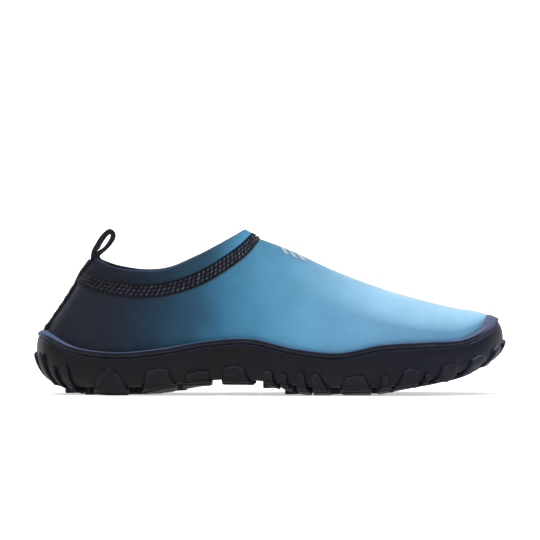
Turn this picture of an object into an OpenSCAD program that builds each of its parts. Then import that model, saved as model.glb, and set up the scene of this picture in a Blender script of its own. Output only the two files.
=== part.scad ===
// Low-cut slip-on neoprene water shoe for the right foot. Toe is +X, inner side of the foot is +Y, up is +Z.
// Every table below is in millimetres. They come to a shoe 281.16 mm long over its lugs, and shoe_length scales them all.

/* [Size] */

// Overall length from the heel of the outsole to the tip of the toe bumper
shoe_length = 280; // [230:1:320]

/* [Upper] */

// Thickness of the laminated neoprene upper
upper_t = 2.5; // [1.5:0.1:4]
// Thickness of the doubled neoprene collar cuff
cuff_t = 4.6; // [3:0.1:6]
// Width of the flatlock stitch band under the collar
seam_w = 8.4; // [5:0.1:11]
// Thickness of the thread build-up of the flatlock seam
thread_t = 0.6; // [0.4:0.05:1.2]

/* [Sole] */

// Thickness of the rubber under the foam midsole, without the lugs
sole_web = 4; // [3:0.1:6]
// How far the side lugs stand out from the sidewall
lug_out = 2.2; // [1:0.1:3.5]
// Thickness of the foam sock liner
liner_t = 4; // [2.5:0.1:6]
// Thickness of the knitted cover on the sock liner
cover_t = 0.8; // [0.5:0.1:1.5]
// Thickness of the strobel sock that closes the upper
sock_t = 1.2; // [0.8:0.1:2]
// Radial gap left between two layers
gap = 0.1; // [0.05:0.05:0.4]

/* [Pull loop] */

// Width of the webbing of the pull loop and of the heel tape
tape_w = 10; // [6:0.5:16]
// Thickness of the heel tape
tape_t = 1.2; // [0.8:0.1:2]

/* [Fineness] */

// Stations around the shoe, an even number
stations = 104; // [52:2:156]
// Rows up the side of the upper
rows = 10; // [8:1:20]

/* [Hidden] */

sz = shoe_length / 281.16;
$fn = 48;

// ---- curves
function cr(a, b, c, d, t) =
  0.5 * (2 * b + (c - a) * t + (2 * a - 5 * b + 4 * c - d) * t * t + (3 * b - a - 3 * c + d) * t * t * t);
function wrap(i, n) = ((i % n) + n) % n;
function closed(p, u) =
  let (n = len(p), i = floor(u), t = u - i)
  cr(p[wrap(i - 1, n)], p[wrap(i, n)], p[wrap(i + 1, n)], p[wrap(i + 2, n)], t);
function open(p, u) =
  let (n = len(p), v = max(0, min(n - 1, u)), i = min(floor(v), n - 2), t = v - i)
  let (a = i > 0 ? p[i - 1] : 2 * p[0] - p[1], d = i < n - 2 ? p[i + 2] : 2 * p[n - 1] - p[n - 2])
  cr(a, p[i], p[i + 1], d, t);
function mix(a, b, t) = a + (b - a) * t;
function unit(v) = v / max(norm(v), 1e-9);
function bez(a, b, c, d, t) =
  let (s = 1 - t) a * s * s * s + b * 3 * s * s * t + c * 3 * s * t * t + d * t * t * t;
// A table given from the heel (0) to the toe (13), mirrored to a closed run of 26
function mir(T) = [for (i = [0:25]) T[min(i, 26 - i)]];

// ---- outline of the sole's rim: heel, outer side, toe, inner side
rim = [
  [-136.9, -1.5, 38.6], [-131.3, -19.5, 35.6], [-116, -31, 28.6], [-92, -35.5, 25.7], [-65, -36, 28],
  [-38, -36, 32.6], [-12, -38.5, 34], [14, -43.5, 28.3], [40, -47.5, 25.8], [66, -48.5, 30.6],
  [91, -44.5, 32], [114, -32.5, 33.4], [128, -16, 40.5], [132, 3.5, 47.3], [129.5, 21.5, 43],
  [117, 36.5, 35.5], [94, 45.5, 32.5], [68, 48.5, 31], [42, 46.5, 27], [15, 40.5, 29.5],
  [-11, 35, 35.5], [-38, 32.5, 35], [-65, 33, 29.5], [-92, 32.5, 26], [-116, 28, 28.6], [-131.3, 16.5, 35.6]
];
function rimp(u) = closed(rim, u);
function rimn(u) =
  let (d = rimp(u + 0.06) - rimp(u - 0.06), l = norm([d[0], d[1]]))
  [d[1] / l, -d[0] / l, 0];
function kof(u) = let (w = u - 26 * floor(u / 26)) min(w, 26 - w);
function side(u) = let (w = u - 26 * floor(u / 26)) w <= 13 ? -1 : 1;

// ---- heights along the length, at every 20 mm from the heel
zb_t = [8, 5.2, 5, 5, 6, 8.5, 9.5, 8, 5.5, 5, 5, 6.6, 10.4, 16, 25.5];
zl_t = [12, 2, 0, 0, 1.5, 5, 6, 4.5, 0.2, 0, 0, 3.4, 7, 12, 23];
zo_t = [14, 3, 0.3, 0, 4.8, 6.2, 6.3, 6, 2.1, 1.5, 2, 4.8, 7.8, 13.4, 28];
zm_t = [19, 17.5, 17, 17, 16.8, 16.5, 16, 15.3, 14.2, 13.4, 13.2, 14, 17, 23, 32];
function along(T, x) = open(T, (x + 140) / 20);
function zb(x) = along(zb_t, x);
// ground heights in steps of 0.1 mm, so that the lugs under the heel and the ball stand flat
function zl(x) = max(0, round(along(zl_t, x) * 10 - 0.4) / 10);
function zo(x) = max(0, round(along(zo_t, x) * 10 - 0.4) / 10);
function zm(x) = along(zm_t, x);

// ---- sidewall of the outsole
d0_t = mir([-15, -11, -7, -5, -5, -5, -5, -5, -5, -5, -5, -6, -7, -8]);
d1_t = mir([-3, -1.5, 0.5, 1.5, 2, 2, 2, 2, 2, 2, 2, 2, 2, 2]);
d2_t = mir([5.6, 4.4, 3, 3, 3, 3, 3, 3, 3, 3, 3, 3, 7, 12]);
d3_t = mir([1.6, 1, 0.4, 0.3, 0.3, 0.3, 0.3, 0.3, 0.3, 0.3, 0.3, 0.3, 1.8, 3.8]);
lip_t = mir([3.4, 3, 2.6, 2.4, 2.4, 2.4, 2.4, 2.4, 2.4, 2.4, 2.4, 2.5, 2.8, 3]);
dm_t = mir([7, 5.5, 4, 3.2, 3.2, 3.2, 3.2, 3.2, 3.2, 3.2, 3.2, 3.5, 4, 4.5]);
df_t = mir([15, 11, 8, 6.5, 6.5, 6.5, 6.5, 6.5, 6.5, 6.5, 6.5, 7, 8, 9]);
function off(u, d) = let (p = rimp(u), n = rimn(u)) [p[0] + n[0] * d, p[1] + n[1] * d];
function at(u, d, z) = let (q = off(u, d)) [q[0], q[1], z];
function wall(u, t) =
  let (z3 = rimp(u)[2] - 4, d0 = closed(d0_t, u), z0 = zb(off(u, d0)[0]))
  bez([d0, z0], [closed(d1_t, u), z0 + 1], [closed(d2_t, u), mix(z0, z3, 0.55)], [closed(d3_t, u), z3], t);

// ---- closed solids from rows of points
// rows: list of rows of n points each, joined round; caps pair station i with n - i
function ring_faces(m, n) = [
  for (j = [0:m - 2]) for (i = [0:n - 1]) for (f = [0, 1])
    let (a = j * n + i, b = j * n + (i + 1) % n, c = a + n, d = b + n) f == 0 ? [a, c, b] : [b, c, d]
];
function cap_faces(o, n, up) = [
  for (i = [0:n / 2 - 1]) for (f = [0, 1])
    let (a = o + i, b = o + i + 1, c = o + (n - i - 1) % n, d = o + (n - i) % n)
    let (t = f == 0 ? [a, b, c] : [a, c, d])
    if (t[0] != t[1] && t[1] != t[2] && t[0] != t[2]) up ? t : [t[2], t[1], t[0]]
];
module shell(rws) {
  m = len(rws);
  n = len(rws[0]);
  polyhedron(points = [for (r = rws) for (p = r) p],
    faces = concat(ring_faces(m, n), cap_faces(0, n, true), cap_faces((m - 1) * n, n, false)), convexity = 8);
}
// a band of sections: each section is a closed run of points, stations joined in a line or in a ring
module band(secs, closed_run) {
  m = len(secs);
  n = len(secs[0]);
  last = closed_run ? m - 1 : m - 2;
  polyhedron(points = [for (r = secs) for (p = r) p],
    faces = concat(
      [for (j = [0:last]) for (i = [0:n - 1]) for (f = [0, 1])
        let (k = (j + 1) % m, a = j * n + i, b = j * n + (i + 1) % n, c = k * n + i, d = k * n + (i + 1) % n)
        f == 0 ? [a, b, c] : [b, d, c]],
      closed_run ? [] : [for (i = [1:n - 2]) [0, i + 1, i]],
      closed_run ? [] : [for (i = [1:n - 2]) let (o = (m - 1) * n) [o, o + i, o + i + 1]]),
    convexity = 8);
}
us = [for (i = [0:stations - 1]) i * 26 / stations];

// ---- surface of the upper
// collar seam and cuff edge, from the heel (0) to the throat (7)
seam_t = [
  [-113.8, 0, 70.6], [-109, 16.5, 67.9], [-97, 26, 64.6], [-80, 30, 62.2], [-61, 31, 63.5], [-40, 29, 70.6],
  [-19, 21.5, 83.8], [-8, 0, 93.3]
];
edge_t = [
  [-104.8, 0, 82.8], [-101, 14, 80], [-92, 23, 76.6], [-77.5, 27.5, 74.6], [-61.5, 28, 75.9], [-44, 24.5, 83.2],
  [-25.5, 15.5, 93.4], [-15.5, 0, 99.2]
];
// the inner side of the collar stands a little higher
rise = [0, 1, 0.9, 0.2, 0, 0, 0, 0];
function loop14(T) = [
  for (i = [0:13]) let (k = min(i, 14 - i), p = T[k], s = i <= 7 ? -1 : 1)
    [p[0], s * p[1] - 1.5 + (k >= 6 ? (k - 5) * 0.75 : 0), p[2] + (s > 0 ? rise[k] : 0)]
];
seam = loop14(seam_t);
edge = loop14(edge_t);
ridge = [
  [-8, 0, 93.3], [12, 0.2, 85.8], [37, 0.8, 74.2], [62, 1.4, 64.6], [86, 2.2, 57.3], [107, 3, 52.1], [122, 3.5, 49.6]
];
// pull directions of each rib at its foot (outward, up) and at its top (forward, outward, up)
foot_t = mir([
  [-3.5, 7], [-3, 10.5], [-1, 14], [1, 14], [1.5, 14], [1.5, 15], [1, 17], [0, 17], [0, 15], [0, 14], [0, 12],
  [0.5, 9], [0.5, 6], [-3, 1.5]
]);
head_t = mir([
  [-5.5, 0, -12.6], [-6.5, 4, -12.6], [-5, 4, -14], [-3, 3, -15], [0, 3, -15], [4.5, 5.5, -15], [6, 9, -15],
  [5, 23, -2], [7, 25, -3], [8, 26, -3.2], [8, 26, -2.6], [8, 21, -2.2], [6, 10, -1.5], [3, 0, -0.8]
]);
function seam_u(u) = let (k = kof(u)) side(u) < 0 ? k : 14 - k;
function top_of(u) = let (k = kof(u)) k <= 7 ? closed(seam, seam_u(u)) : open(ridge, k - 7);
function foot_of(u) = at(u, -closed(lip_t, u) - gap, rimp(u)[2]);
function rib(u) =
  let (p0 = foot_of(u), n = rimn(u), f = closed(foot_t, u), h = closed(head_t, u), p3 = top_of(u))
  [p0, p0 + n * f[0] + [0, 0, f[1]], p3 + [h[0], side(u) * h[1], h[2]], p3];
function onrib(r, v) = bez(r[0], r[1], r[2], r[3], v);
function up(u, v) = onrib(rib(u), v);
// outward normal, averaged over the two sides on the ridge
function raw_n(u, v) =
  let (e = 0.05, w = v > 0.99 ? v - 0.02 : v, ru = rib(u))
  let (du = up(u + e, w) - up(u - e, w), dv = onrib(ru, min(1, w + 0.02)) - onrib(ru, max(0, w - 0.02)))
  unit(cross(du, dv));
function un(u, v) =
  v > 0.995 && kof(u) > 6.9 && kof(u) < 12.99
    ? let (w = kof(u) < 7.1 ? (side(u) < 0 ? 7.15 : 18.85) : u) unit(raw_n(w, 1) + raw_n(26 - w, 1))
    : raw_n(u, v);
// v of each row: closer together near the foot and the head
function rowv(j) = j / rows;

// outer skin moved out by d, from the foot to the head
function skin(u, v, d) = up(u, v) + un(u, v) * d;
// a patch of the skin between two offsets, open in both directions
module patch(ul, vl, d1, d2) {
  m = len(ul);
  n = len(vl);
  band([for (u = ul) concat([for (v = vl) skin(u, v, d2)], [for (j = [n - 1:-1:0]) skin(u, vl[j], d1)])], false);
}

// ---- outsole
function out_rows() = concat(
  [for (t = [0, 0.12, 0.25, 0.4, 0.55, 0.7, 0.85, 1])
    [for (u = us) let (w = wall(u, t)) at(u, w[0], w[1])]],
  [for (q = [[-0.9, -3.6], [0.6, -3], [0.6, -0.6], [0, 0]])
    [for (u = us) at(u, closed(d3_t, u) + q[0], rimp(u)[2] + q[1])]],
  [[for (u = us) at(u, -closed(lip_t, u), rimp(u)[2])]],
  [[for (u = us) let (d = -closed(dm_t, u)) at(u, d, zm(off(u, d)[0]))]],
  [[for (u = us) let (d = -closed(df_t, u)) at(u, d, zb(off(u, d)[0]) + sole_web)]]
);
// a lug on the sidewall at station u: half width hw, top at wall fraction t, narrowing by tp and leaning by sl
// on the way up, lower at its sides by pk; w is how far it runs in under the sole
// s is the place across the lug from -1 to 1, and e is 1 at its two ends, which lie inside the wall
function lug_sec(u, hw, t, tp, sl, pk, w, s, e) =
  let (th = t * (1 - pk * abs(s)) * (e > 0 ? 0.94 : 1), p = lug_out * (e > 0 ? -0.2 : abs(s) > 0.7 ? 0.75 : 1))
  let (ua = u + s * hw * (1 - tp) + sl, ub = u + s * hw * (1 - tp * 0.86) + sl * 0.86)
  let (uc = u + s * hw * (1 - tp * 0.45) + sl * 0.45, ue = u + s * hw)
  let (a = wall(ua, th), b = wall(ub, th * 0.86), c = wall(uc, th * 0.45), d = wall(ue, 0.14), f = wall(ue, 0))
  let (z0 = f[1], xo = off(u, f[0])[0], xi = off(u, f[0] - w)[0], end = kof(u) < 2.5 || kof(u) > 10.5 ? 1 : 0)
  let (zn = min(z0, zb(xi)), zf = e > 0 ? z0 + 0.43 : min(zo(xo), z0 - 0.5))
  let (zi = e > 0 ? zn + 0.43 : min(zl(xi), zn - 0.5))
  [
    at(ue, f[0] - 1.23, z0 + 1.27), at(ua, a[0] - 2.23, a[1] - 0.41), at(ua, a[0] + min(p, 0.17), a[1]),
    at(ub, b[0] + p, b[1]), at(uc, c[0] + p, c[1]), at(ue, d[0] + p, max(zf + 1.6, d[1] - (end > 0 ? 1.2 : 3))),
    at(ue, f[0] + p * 0.7, zf), at(ue, f[0] - w, zi), at(ue, f[0] - w, zn + 1.27)
  ];
module lug(l) {
  w = l[0] < 2 || l[0] > 24 ? 10.3 : abs(l[0] - 13) < 2 ? 11.3 : 14.7;
  band([for (s = [[-1, 1], [-0.8, 0], [-0.35, 0], [0, 0], [0.35, 0], [0.8, 0], [1, 1]])
    lug_sec(l[0], l[1], l[2], l[3], l[4], l[5], w, -s[0], s[1])], false);
}
// centre and half width in ring steps, height as a fraction of the sidewall, narrowing, lean, side drop
lugs = [
  [0.72, 0.2, 0.84, 0.25, 0, 0.05], [1.27, 0.12, 0.62, 0.2, 0, 0.1], [1.76, 0.14, 0.74, 0.2, -0.04, 0.1],
  [2.87, 0.42, 0.82, 0.3, 0, 0.36], [3.97, 0.4, 0.7, 0.34, -0.06, 0.06], [4.79, 0.31, 0.48, 0.1, 0, 0.05],
  [5.66, 0.33, 0.56, 0.2, -0.03, 0.08], [6.42, 0.12, 0.52, 0.15, 0, 0.05], [6.76, 0.1, 0.5, 0.15, 0, 0.05],
  [7.16, 0.13, 0.62, 0.25, 0, 0.1], [7.58, 0.18, 0.62, 0.35, -0.08, 0.1], [8.4, 0.37, 0.54, 0.38, 0, 0.04],
  [9.07, 0.13, 0.5, 0.2, 0, 0.1], [9.62, 0.3, 0.62, 0.38, 0.04, 0.08], [10.08, 0.09, 0.42, 0.1, 0, 0.1],
  [10.6, 0.3, 0.6, 0.32, 0, 0.08], [11.45, 0.34, 0.64, 0.25, 0, 0.1], [12.3, 0.27, 0.68, 0.2, 0, 0.1]
];
// one arm of a tread chevron, from (x1, y1) to (x2, y2), foot at height z
module arm(x1, y1, x2, y2, r, z, top) {
  hull() {
    translate([x1, y1, z]) cylinder(r = r, h = top - z, $fn = 8);
    translate([x2, y2, z]) cylinder(r = r, h = top - z, $fn = 8);
  }
}
// x of the point, half spread, sweep back, mid-line y
chevrons = [
  [-112, 9, 8, -1.5], [-97, 15, 11, -1.5], [-82, 17, 11, -1.5], [-67, 17, 11, -1.5], [-52, 15, 8, -1.5],
  [-38, 14, 7, -1.5], [-20, 14, 6, -1.5], [6, 19, 8, -1], [23, 22, 12, -0.5], [40, 24, 12, 0], [57, 24, 12, 0],
  [71, 22, 10, 0.5], [85, 17, 9, 1.5], [104, 9, 8, 2.5]
];
module tread() {
  for (c = chevrons) {
    z = zl(c[0] - c[2] * 0.4);
    top = min(zb(c[0]), zb(c[0] - c[2])) + 1.63;
    for (s = [-1, 1])
      arm(c[0] - 0.13, c[3] + s * 3.71, c[0] - c[2] + 0.09, c[3] + s * (c[1] + 0.07), 2.57, z, top);
  }
}
module outsole() {
  color([0.16, 0.16, 0.18])
    scale(sz)
    union() {
      shell(out_rows());
      lug([0, 0.24, 0.78, 0.3, 0, 0.1]);
      lug([13, 0.25, 0.7, 0.2, 0, 0.1]);
      for (l = lugs) {
        lug(l);
        lug([26 - l[0], l[1], l[2], l[3], -l[4], l[5]]);
      }
      tread();
    }
}

// ---- layers inside the shoe
// inner face of the upper's skirt at height z: how far in from the rim outline
function skirt_in(u, z) =
  let (a = closed(dm_t, u), b = closed(lip_t, u), z0 = zm(off(u, -a)[0]), z1 = rimp(u)[2], t = (z - z0) / (z1 - z0))
  mix(a, b, max(0, t)) + upper_t + 2.5 * gap;
// a slab on the footbed between heights lo and hi above the midsole's top
module slab(lo, hi, extra, soft) {
  function zz(u, h) = zm(off(u, -closed(dm_t, u) - upper_t)[0]) + h;
  function p(u, h, e) = let (z = zz(u, h)) at(u, -skirt_in(u, z) - extra - e, z);
  shell([
    [for (u = us) p(u, lo, soft)], [for (u = us) p(u, mix(lo, hi, 0.5), 0)], [for (u = us) p(u, hi, soft)]
  ]);
}
module midsole() {
  color([0.30, 0.31, 0.33])
    scale(sz)
    shell([
      [for (u = us) let (d = -closed(df_t, u) - 5 * gap) at(u, d, zb(off(u, d)[0]) + sole_web + 4 * gap)],
      [for (u = us) let (d = -closed(dm_t, u) - 10 * gap) at(u, d, zm(off(u, d)[0]) - 3 * gap)]
    ]);
}
module strobel_sock() {
  color([0.55, 0.56, 0.58])
    scale(sz)
    slab(gap, gap + sock_t, gap, 0);
}
module sock_liner() {
  color([0.22, 0.42, 0.55])
    scale(sz)
    slab(2 * gap + sock_t, 2 * gap + sock_t + liner_t, gap + 0.3, 0.8);
}
module sock_liner_cover() {
  color([0.08, 0.09, 0.11])
    scale(sz)
    slab(3 * gap + sock_t + liner_t, 3 * gap + sock_t + liner_t + cover_t, gap + 0.6, 0.1);
}

// ---- upper
function grid_up(d) = [for (j = [0:rows]) [for (u = us) skin(u, rowv(j), d)]];
function skirt_pt(u, d) =
  let (s = -closed(dm_t, u) - gap, q = at(u, s, zm(off(u, s)[0]) + gap))
  q + rimn(u) * d;
module upper() {
  n = stations;
  o = concat([[for (u = us) skirt_pt(u, 0)]], grid_up(0));
  i = concat([[for (u = us) skirt_pt(u, -upper_t)]], grid_up(-upper_t));
  m = rows + 2;
  half = n / 2;
  h7 = round(n * 7 / 26);
  // on the ridge the two sides share one row of points
  function id(j, k) = (j == m - 1 && k % n > half) && (n - k % n) > h7 ? j * n + n - k % n : j * n + k % n;
  function quad(j, k, s) =
    let (a = id(j, k), b = id(j, k + 1), c = id(j + 1, k), d = id(j + 1, k + 1), z = s * m * n)
    let (q = s == 0 ? [[a, c, b], [b, c, d]] : [[z + a, z + b, z + c], [z + b, z + d, z + c]])
    [for (t = q) if (t[0] != t[1] && t[1] != t[2] && t[0] != t[2]) t];
  pts = concat([for (r = o) for (p = r) p], [for (r = i) for (p = r) p]);
  skins = [for (j = [0:m - 2]) for (k = [0:n - 1]) for (s = [0, 1]) for (t = quad(j, k, s)) t];
  low = [for (k = [0:n - 1]) for (f = [0, 1])
    let (a = k, b = (k + 1) % n, c = m * n + k, d = m * n + (k + 1) % n) f == 0 ? [a, b, c] : [b, d, c]];
  high = [for (k = [0:n - 1]) for (f = [0, 1])
    if (k < h7 || k >= n - h7)
      let (a = id(m - 1, k), b = id(m - 1, k + 1), c = m * n + a, d = m * n + b)
      f == 0 ? [a, c, b] : [b, c, d]];
  color([0.36, 0.62, 0.78])
    scale(sz)
    polyhedron(points = pts, faces = concat(skins, low, high), convexity = 10);
}

// ---- collar
cuff_us = [for (i = [0:55]) i / 4];
// frame on the collar loop: seam point, way up the cuff, outward normal
function cuff_frame(u) =
  let (s = closed(seam, u), e = closed(edge, u), w = unit(e - s))
  let (t = closed(seam, u + 0.1) + closed(edge, u + 0.1) - closed(seam, u - 0.1) - closed(edge, u - 0.1))
  [s, w, unit(cross(t, w)), norm(e - s)];
function cuff_pt(f, a, d) = f[0] + f[1] * a + f[2] * d;
module collar_cuff() {
  r = cuff_t / 2;
  color([0.20, 0.38, 0.50])
    scale(sz)
    band([for (u = cuff_us) let (f = cuff_frame(u), h = f[3])
      concat(
        [cuff_pt(f, gap, 0), cuff_pt(f, h * 0.4, 0.35)],
        [for (a = [0:30:180]) cuff_pt(f, h - r + r * sin(a), -r + r * cos(a))],
        [cuff_pt(f, 5, -cuff_t), cuff_pt(f, gap, -upper_t - 0.3)])], true);
}
// way down the upper from the seam point
function down_dir(u) = let (k = u <= 7 ? u : 26 - (14 - u), r = rib(k)) unit(onrib(r, 0.93) - r[3]);
seam_us = [for (i = [0:51]) 0.36 + i * (14 - 0.72) / 51];
module flatlock_cover_thread() {
  b = seam_w / 2;
  color([0.05, 0.06, 0.09])
    scale(sz)
    band([for (u = seam_us) let (f = cuff_frame(u), w = down_dir(u), n = f[2])
      let (lo = f[0] + w * b, mid = f[0], hi = f[0] + f[1] * b)
      [
        lo + n * (0.6 + thread_t * 0.7), mid + n * (0.5 + thread_t), hi + n * (0.65 + thread_t * 0.7), hi + n * 0.65,
        mid + n * 0.5, lo + n * 0.6
      ]], false);
}
module flatlock_looper_thread() {
  b = seam_w / 2;
  color([0.10, 0.11, 0.14])
    scale(sz)
    band([for (u = seam_us) let (f = cuff_frame(u), w = down_dir(u), n = -f[2])
      let (lo = f[0] + w * b, mid = f[0], hi = f[0] + f[1] * b)
      let (a = upper_t + 0.45, c = cuff_t + 0.3)
      [
        mid + n * (a + 0.4), hi + n * c, hi + n * (c + thread_t), mid + n * (a + 0.4 + thread_t),
        lo + n * (a + thread_t), lo + n * a
      ]], false);
}

// ---- stiffeners and lining, laid against the inside of the upper
module heel_counter() {
  color([0.42, 0.42, 0.40])
    scale(sz)
    patch([for (i = [-9:9]) i * 0.36], [0.06, 0.18, 0.3, 0.42, 0.54, 0.66], -upper_t - 1.1, -upper_t - 0.15);
}
module heel_lining() {
  color([0.10, 0.10, 0.12])
    scale(sz)
    patch([for (i = [-9:9]) i * 0.38], [0.04, 0.15, 0.27, 0.39, 0.51, 0.63, 0.75], -upper_t - 2.05, -upper_t - 1.25);
}
module toe_puff() {
  color([0.35, 0.35, 0.36])
    scale(sz)
    patch([for (i = [-8:8]) 13 + i * 0.28], [0.08, 0.2, 0.34, 0.48, 0.6], -upper_t - 0.95, -upper_t - 0.15);
}

// ---- tape down the back of the heel
tape_us = [for (i = [-3:3]) i / 3];
// ring step that gives a half width of w at height v
function tape_step(v, w) = w / max(1, norm(up(0.3, v) - up(0, v))) * 0.3;
function tape_sec(v, d1, d2, w) =
  let (s = tape_step(v, w))
  concat([for (t = tape_us) skin(t * s, v, d1)], [for (i = [6:-1:0]) skin(tape_us[i] * s, v, d2)]);
tape_vs = [0.04, 0.16, 0.3, 0.44, 0.58, 0.7, 0.8, 0.88];
// above the flatlock band the tape lies on the cuff
function cuff_sec(a, d1, d2, w) =
  let (s = w / 17.5)
  concat(
    [for (t = tape_us) let (f = cuff_frame(t * s)) cuff_pt(f, a, d1)],
    [for (i = [6:-1:0]) let (f = cuff_frame(tape_us[i] * s)) cuff_pt(f, a, d2)]);
module heel_tape() {
  color([0.07, 0.07, 0.09])
    scale(sz)
    band(concat(
      [for (v = tape_vs) tape_sec(v, 0.15, 0.15 + tape_t, tape_w / 2)],
      [for (a = [1, 4.5, 8, 11]) cuff_sec(a, 0.55, 0.55 + tape_t, tape_w / 2)]), false);
}
module heel_tape_stitching() {
  color([0.20, 0.21, 0.25])
    scale(sz)
    for (s = [-1, 1])
      for (i = [0:13])
        let (v = 0.12 + i * 0.054, st = tape_step(v, tape_w / 2 - 1.4) * s)
        let (a = skin(st, v, tape_t + 0.3), b = skin(st, v + 0.034, tape_t + 0.3), n = un(st, v), q = [0, 0.3, 0])
        band([for (e = [a, b]) [e - q, e - q + n * 0.35, e + q + n * 0.35, e + q]], false);
}

// ---- generic mark on the vamp: three slanted bars
module vamp_transfer() {
  color([0.70, 0.72, 0.75])
    scale(sz)
    for (i = [0:2])
      patch([for (k = [0:3]) 7.62 + i * 0.22 + k * 0.04], [0.82, 0.86, 0.9, 0.94], 0.13, 0.33);
}

// ---- pull loop and the webbing that holds it over the collar's edge
// axis of the bend at the root of the loop, along Y
loop_x = -104;
loop_y = -1.5;
loop_z = 85.45;
root_r = 2.1;
loop_outer = [
  [-105.8, 87], [-104.4, 89.8], [-102.6, 92.9], [-100.2, 95.9], [-97.8, 98], [-95.8, 98.9],
  [-93.8, 97.7], [-92.5, 95.8], [-92.5, 93.3], [-93.7, 90.8], [-95.6, 88.2], [-98, 85.8]
];
loop_eye = [
  [-101.9, 86.9], [-100.9, 89], [-99.3, 91.5], [-97.6, 93.8], [-96, 95.3], [-95.4, 94.9],
  [-95.8, 93.4], [-96.8, 91.4], [-98.3, 89.3], [-100.3, 87.2]
];
module web(w) {
  translate([0, loop_y + w / 2, 0])
    rotate([90, 0, 0])
    linear_extrude(w)
    children();
}
// room on the inner side for the collar, which curves forward across the width of the webbing
bow = 0.7;
// the cuff's outline over its edge at the heel, moved out by d: up the outside, over, and down the inside
function over(d, lo, li) =
  let (f = cuff_frame(0), h = f[3], r = cuff_t / 2)
  let (q = concat(
    [cuff_pt(f, h - lo, d)],
    [for (a = [0:20:180])
      cuff_pt(f, h - r + (r + d) * sin(a), -r + (r + d) * cos(a) - bow * (1 - cos(a)) / 2)],
    [cuff_pt(f, h - li, -cuff_t - d - bow)]))
  [for (p = q) [p[0], p[2]]];
module loop_anchor() {
  outer = over(1, 3.6, 9.5);
  inner = over(0.2, 3.6, 9.5);
  n = len(inner);
  color([0.06, 0.06, 0.08])
    scale(sz)
    web(tape_w)
    polygon(concat(outer, [for (i = [n - 1:-1:0]) inner[i]]));
}
module bartacks() {
  f = cuff_frame(0);
  color([0.20, 0.21, 0.25])
    scale(sz)
    for (a = [4.6, 8])
      for (k = [0:7])
        let (c = cuff_pt(f, f[3] - a, -cuff_t - 1.35 - bow))
        translate([c[0], loop_y - tape_w / 2 + 1.1 + k * (tape_w - 2.2) / 7, c[2]])
        rotate([0, atan2(f[1][0], f[1][2]), 0])
        cylinder(r = 0.3, h = 2.2, center = true, $fn = 12);
}
module pull_loop() {
  color([0.05, 0.05, 0.07])
    scale(sz)
    web(tape_w)
    difference() {
      polygon(concat(loop_outer, [for (a = [150:15:285]) [loop_x + root_r * sin(a), loop_z + root_r * cos(a)]]));
      polygon(loop_eye);
    }
}

outsole();
midsole();
strobel_sock();
sock_liner();
sock_liner_cover();
upper();
collar_cuff();
flatlock_cover_thread();
flatlock_looper_thread();
heel_counter();
heel_lining();
toe_puff();
heel_tape();
heel_tape_stitching();
vamp_transfer();
loop_anchor();
bartacks();
pull_loop();
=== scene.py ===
import math

import bpy
import numpy as np
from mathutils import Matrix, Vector


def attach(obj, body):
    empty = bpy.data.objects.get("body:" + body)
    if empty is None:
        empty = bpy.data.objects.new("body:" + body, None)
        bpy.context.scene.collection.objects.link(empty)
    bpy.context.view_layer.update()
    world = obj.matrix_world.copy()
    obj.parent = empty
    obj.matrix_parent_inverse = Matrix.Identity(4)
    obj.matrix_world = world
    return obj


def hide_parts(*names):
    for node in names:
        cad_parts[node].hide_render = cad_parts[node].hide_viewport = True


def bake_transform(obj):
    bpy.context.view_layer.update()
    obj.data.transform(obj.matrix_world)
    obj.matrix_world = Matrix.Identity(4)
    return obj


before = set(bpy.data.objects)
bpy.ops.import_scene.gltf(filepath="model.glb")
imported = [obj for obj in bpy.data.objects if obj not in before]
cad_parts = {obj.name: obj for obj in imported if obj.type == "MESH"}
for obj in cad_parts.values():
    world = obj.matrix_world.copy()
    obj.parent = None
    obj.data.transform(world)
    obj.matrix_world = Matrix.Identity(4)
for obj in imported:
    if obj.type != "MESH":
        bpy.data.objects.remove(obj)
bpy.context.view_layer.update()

K = 0.28 / 281.16  # metres for one millimetre of the tables below
RING = 26  # stations around the rim: 0 at the middle of the heel, 13 at the toe
COLLAR = 14  # stations around the collar: 0 at the middle of the heel, 7 at the throat
MID_Y = -1.5  # the middle line of the heel, the collar and the loop
SHEET = 2.5  # thickness of the neoprene
FOLD_R = 2.3  # radius of the cuff's folded edge
WEB_HALF = 5.0  # half the width of the webbing
rng = np.random.default_rng(11)


# ---- curves
def cr(a, b, c, d, t):
    return 0.5 * (
        2 * b + (c - a) * t + (2 * a - 5 * b + 4 * c - d) * t * t + (3 * b - a - 3 * c + d) * t * t * t
    )


def closed(table, u):
    p, u = np.asarray(table, float), np.asarray(u, float)
    n, i = len(p), np.floor(u).astype(int)
    t = u - i
    if p.ndim > 1:
        t = t[..., None]
    return cr(p[(i - 1) % n], p[i % n], p[(i + 1) % n], p[(i + 2) % n], t)


def opened(table, u):
    p, u = np.asarray(table, float), np.asarray(u, float)
    q = np.concatenate([[2 * p[0] - p[1]], p, [2 * p[-1] - p[-2]]])
    v = np.clip(u, 0, len(p) - 1)
    i = np.minimum(np.floor(v).astype(int), len(p) - 2)
    t = v - i
    if p.ndim > 1:
        t = t[..., None]
    return cr(q[i], q[i + 1], q[i + 2], q[i + 3], t)


def bez(a, b, c, d, t):
    s = 1 - t
    return a * s**3 + b * 3 * s * s * t + c * 3 * s * t * t + d * t**3


def unit(v):
    return v / np.maximum(np.linalg.norm(v, axis=-1, keepdims=True), 1e-9)


def mir(table):
    return [table[min(i, RING - i)] for i in range(RING)]


def ease(x, a, b):
    t = np.clip((x - a) / (b - a), 0, 1)
    return t * t * (3 - 2 * t)


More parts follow.
